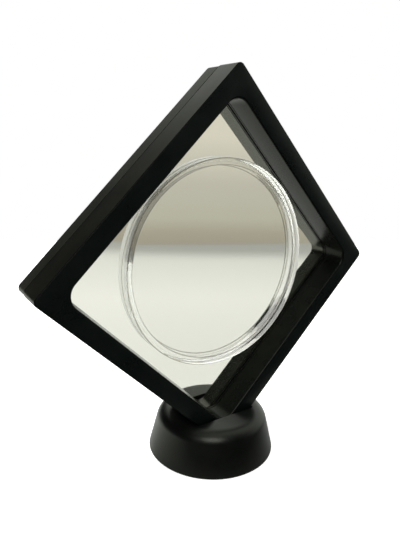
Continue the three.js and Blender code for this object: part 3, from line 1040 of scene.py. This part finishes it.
def tableLooks(tree, eye, forward):
    # plain to the camera, dimming towards its far edge through the films, and a painted glow where it is
    # mirrored, bright behind the stand and nearly dark in front
    spot = addNode(tree, "ShaderNodeTexCoord").outputs["Object"]
    split = addNode(tree, "ShaderNodeSeparateXYZ", {"Vector": spot})
    span = tableSettings["glossSpan"] * mm
    # painted glow, from nearly dark in front of the stand to bright behind it
    gloss = addNode(tree, "ShaderNodeMapRange", {
        "Value": split.outputs["Y"], "From Min": -span, "From Max": span,
        "To Min": tableSettings["mirroredGlowFront"], "To Max": tableSettings["mirroredGlowBehind"],
    })
    lit = addNode(tree, "ShaderNodeBsdfDiffuse", {"Color": linearColour(tableSettings["colour"])})
    glow = addNode(tree, "ShaderNodeEmission", {"Strength": tableSettings["glow"]})
    direct = addNode(tree, "ShaderNodeAddShader", {0: lit.outputs["BSDF"], 1: glow.outputs["Emission"]})
    mirrored = addNode(tree, "ShaderNodeEmission", {
        "Color": roomSettings["tint"], "Strength": gloss.outputs["Result"],
    })
    away = addNode(tree, "ShaderNodeVectorMath", {0: spot, 1: forward}, operation="DOT_PRODUCT")
    start = eye.dot(forward) * mm
    levels = [(start + reach, (level, level, level, 1.0)) for reach, level in tableSettings["fade"]]
    through = addNode(tree, "ShaderNodeEmission", {
        "Color": tableSettings["through"], "Strength": blendAlong(tree, away.outputs["Value"], levels),
    })
    shade = shadeByRay(tree, lit.outputs["BSDF"], {
        "Is Camera Ray": direct.outputs["Shader"],
        "Is Transmission Ray": through.outputs["Emission"],
        "Glossy Depth": mirrored.outputs["Emission"],
        "Diffuse Depth": lit.outputs["BSDF"],
    })
    addNode(tree, "ShaderNodeOutputMaterial", {"Surface": shade})


def makeTable():
    # a pale table whose far edge shows through the films
    heading = math.radians(-cameraSettings["turn"][2])
    forward = Vector((math.sin(heading), math.cos(heading), 0))
    eye = Vector((*cameraSettings["place"][:2], 0))
    side = tableSettings["side"]
    turn = math.radians(tableSettings["turn"]) - heading
    farEdge = Matrix.Translation(eye + forward * tableSettings["reach"])
    bm = bmesh.new()
    bmesh.ops.create_grid(bm, x_segments=1, y_segments=1, size=side / 2)
    place = farEdge @ turnAbout("Z", turn) @ Matrix.Translation((0, -side / 2, 0))
    table = pieceFrom("table", bm, toMetres @ place)
    material, tree = newMaterial("paleTable")
    tableLooks(tree, eye, forward)
    table.data.materials.append(material)


def makeWorld():
    # white to the camera, a greige wall through the films, a room that is brighter above to gloss
    world = bpy.data.worlds.new("studio")
    scene.world = world
    world.use_nodes = True
    tree = world.node_tree
    tree.nodes.clear()
    direction = addNode(tree, "ShaderNodeTexCoord").outputs["Generated"]
    split = addNode(tree, "ShaderNodeSeparateXYZ", {"Vector": direction})
    wall = blendAlong(tree, split.outputs["Z"], roomSettings["wall"])
    slope = addNode(tree, "ShaderNodeVectorMath", {0: direction, 1: roomSettings["slope"]},
                    operation="DOT_PRODUCT")
    upper = addNode(tree, "ShaderNodeMapRange", {
        "Value": slope.outputs["Value"], "From Min": 0.0, "From Max": roomSettings["reach"],
    })
    curve = addNode(tree, "ShaderNodeMath", {0: upper.outputs["Result"], 1: roomSettings["curve"]},
                    operation="POWER")
    room = addNode(tree, "ShaderNodeMapRange", {
        "Value": curve.outputs["Value"], "To Min": roomSettings["low"], "To Max": roomSettings["high"],
    })
    nearest, deepest = roomSettings["frontSpan"]
    depth = addNode(tree, "ShaderNodeMapRange", {
        "Value": split.outputs["Y"], "From Min": nearest, "From Max": deepest,
        "To Min": roomSettings["frontLow"], "To Max": 1.0,
    })
    gloss = addNode(tree, "ShaderNodeMath", {0: room.outputs["Result"], 1: depth.outputs["Result"]},
                    operation="MULTIPLY")
    fill = addNode(tree, "ShaderNodeBackground", {"Strength": roomSettings["fill"]})
    mirrored = addNode(tree, "ShaderNodeBackground", {
        "Color": roomSettings["tint"], "Strength": gloss.outputs["Value"],
    })
    through = addNode(tree, "ShaderNodeBackground", {"Color": wall})
    white = addNode(tree, "ShaderNodeBackground", {"Color": roomSettings["white"]})
    shade = shadeByRay(tree, fill.outputs["Background"], {
        "Is Transmission Ray": through.outputs["Background"],
        "Glossy Depth": mirrored.outputs["Background"],
        "Diffuse Depth": fill.outputs["Background"],
        "Is Camera Ray": white.outputs["Background"],
    })
    addNode(tree, "ShaderNodeOutputWorld", {"Surface": shade})


def addLamp(name, lamp):
    light = bpy.data.lights.new(name, "AREA")
    light.shape = "RECTANGLE"
    light.size = light.size_y = lamp["side"] * mm
    light.energy = lamp["watts"]
    holder = bpy.data.objects.new(name, light)
    holder.location = Vector(lamp["place"]) * mm
    holder.rotation_mode = "QUATERNION"
    holder.rotation_quaternion = (Vector(lamp["aim"]) - Vector(lamp["place"])).to_track_quat("-Z", "Y")
    holder.visible_glossy = lamp["mirrored"]
    holder.visible_diffuse = not lamp["mirrored"]
    scene.collection.objects.link(holder)


def makeCamera():
    lens = bpy.data.cameras.new("camera")
    lens.lens = cameraSettings["lens"]
    lens.sensor_width = cameraSettings["sensorWidth"]
    lens.shift_x, lens.shift_y = cameraSettings["shift"]
    lens.clip_start = cameraSettings["nearest"] * mm
    camera = bpy.data.objects.new("camera", lens)
    camera.location = Vector(cameraSettings["place"]) * mm
    camera.rotation_euler = [math.radians(angle) for angle in cameraSettings["turn"]]
    scene.collection.objects.link(camera)
    scene.camera = camera


makeTable()
makeWorld()
for name, lamp in lampSettings.items():
    addLamp(name, lamp)
makeCamera()
scene.view_settings.view_transform = "Standard"
print("stage ready")
